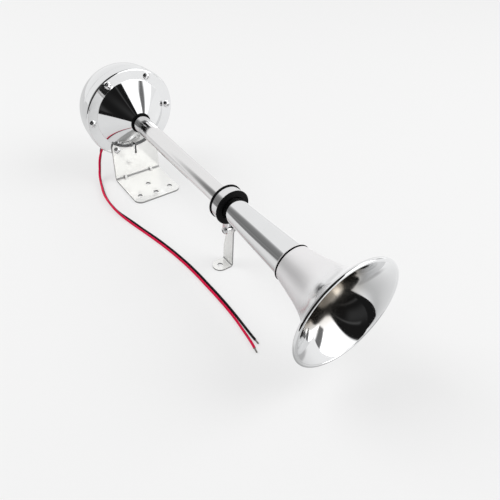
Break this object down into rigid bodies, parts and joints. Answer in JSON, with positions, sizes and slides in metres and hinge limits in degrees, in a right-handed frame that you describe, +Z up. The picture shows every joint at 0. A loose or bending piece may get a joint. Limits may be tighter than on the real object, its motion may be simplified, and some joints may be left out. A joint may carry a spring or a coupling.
{
  "type": "electric trumpet horn",
  "caption": "Single-trumpet electric horn for a boat: round driver with a domed back, slim tube, flared bell, clamp on a rubber sleeve and two foot brackets.",
  "frame": {"origin": "centre of the footprint of the horn and its brackets, wires left out, on the plane that the two feet stand on", "axes": "+X along the horn's axis towards the bell's mouth, +Z up from the mounting surface, +Y to the left of someone who looks out along the bell"},
  "size_m": [0.412, 0.1077, 0.131],
  "materials": {
    "polished_steel": "mirror polish",
    "satin_steel": "fine drawn polish",
    "bracket_steel": "mirror polish with soft sheared edges",
    "screw_steel": "bright",
    "plated_steel": "zinc plated",
    "core_steel": "turned, oiled",
    "spring_steel": "rolled",
    "brass": "turned",
    "contact_metal": "ground",
    "gasket": "matt, oiled",
    "laminate": "matt",
    "nylon": "matt",
    "resistor_body": "matt",
    "enamelled_copper": "enamelled",
    "tinned_copper": "tinned strands",
    "red_insulation": "soft sheen",
    "black_insulation": "soft sheen",
    "black_rubber": "moulded, low sheen"
  },
  "bodies": {
    "horn": {"dome_cover": "polished_steel", "rear_housing": "polished_steel", "front_plate": "polished_steel", "front_gasket": "gasket", "diaphragm": "spring_steel", "rear_gasket": "gasket", "inner_pan": "plated_steel", "magnet_pot": "core_steel", "pole_core": "core_steel", "pole_nut": "brass", "coil_bobbin": "nylon", "coil_winding": "enamelled_copper", "coil_leads": "enamelled_copper", "breaker_post": "laminate", "leaf_root": "brass", "leaf_insulator": "laminate", "fixed_contact_arm": "brass", "fixed_contact": "contact_metal", "breaker_screws": "plated_steel", "breaker_lead": "red_insulation", "tuning_bush": "brass", "tuning_locknut": "plated_steel", "terminal_strip": "laminate", "terminals": "brass", "terminal_rivets": "plated_steel", "spark_resistor": "resistor_body", "red_lead": "red_insulation", "black_lead": "black_insulation", "wire_grommet": "black_rubber", "red_wire": "red_insulation", "black_wire": "black_insulation", "red_wire_end": "tinned_copper", "black_wire_end": "tinned_copper", "flange_screws": "screw_steel", "flange_washers": "screw_steel", "flange_nuts": "plated_steel", "throat_seal": "black_rubber", "throat_ferrule": "plated_steel", "rear_tube": "satin_steel", "front_tube": "polished_steel", "bell": "polished_steel", "rim_wire": "plated_steel", "rubber_sleeve": "black_rubber", "rear_bracket": "bracket_steel"},
    "armature": {"armature": "core_steel", "armature_stud": "plated_steel", "diaphragm_washers": "plated_steel", "armature_nut": "brass", "pusher_pin": "laminate"},
    "contact_arm": {"contact_arm": "brass", "moving_contact": "contact_metal"},
    "tuning_screw": {"tuning_screw": "plated_steel"},
    "clamp": {"clamp_band": "screw_steel", "clamp_screw": "screw_steel", "clamp_washer": "screw_steel", "clamp_nut": "screw_steel"},
    "front_bracket": {"front_bracket": "bracket_steel"}
  },
  "joints": [
    {"name": "armature_slide", "type": "slide", "parent": "horn", "child": "armature", "axis": [-1, 0, 0], "range_m": [0, 0.0006], "stiffness_N_per_m": 20000, "deforming": ["diaphragm"]},
    {"name": "contact_arm_hinge", "type": "hinge", "parent": "horn", "child": "contact_arm", "pos_m": [-0.15435, 0, 0.1045], "axis": [0, 1, 0], "range_deg": [0, 2.9], "stiffness_Nm_per_rad": 0.02},
    {"name": "tuning_turn", "type": "hinge", "parent": "horn", "child": "tuning_screw", "pos_m": [-0.175, 0.009, 0.103], "axis": [1, 0, 0], "range_deg": [-180, 180]},
    {"name": "clamp_turn", "type": "hinge", "parent": "horn", "child": "clamp", "pos_m": [0.048, 0, 0.079], "axis": [1, 0, 0], "continuous": true},
    {"name": "bracket_swivel", "type": "hinge", "parent": "clamp", "child": "front_bracket", "pos_m": [0.048, 0.0048, 0.05], "axis": [0, 1, 0], "range_deg": [-90, 90]}
  ],
  "couplings": [
    {"joint": "contact_arm_hinge", "follows": "armature_slide", "rad_per_m": 83.33}
  ]
}
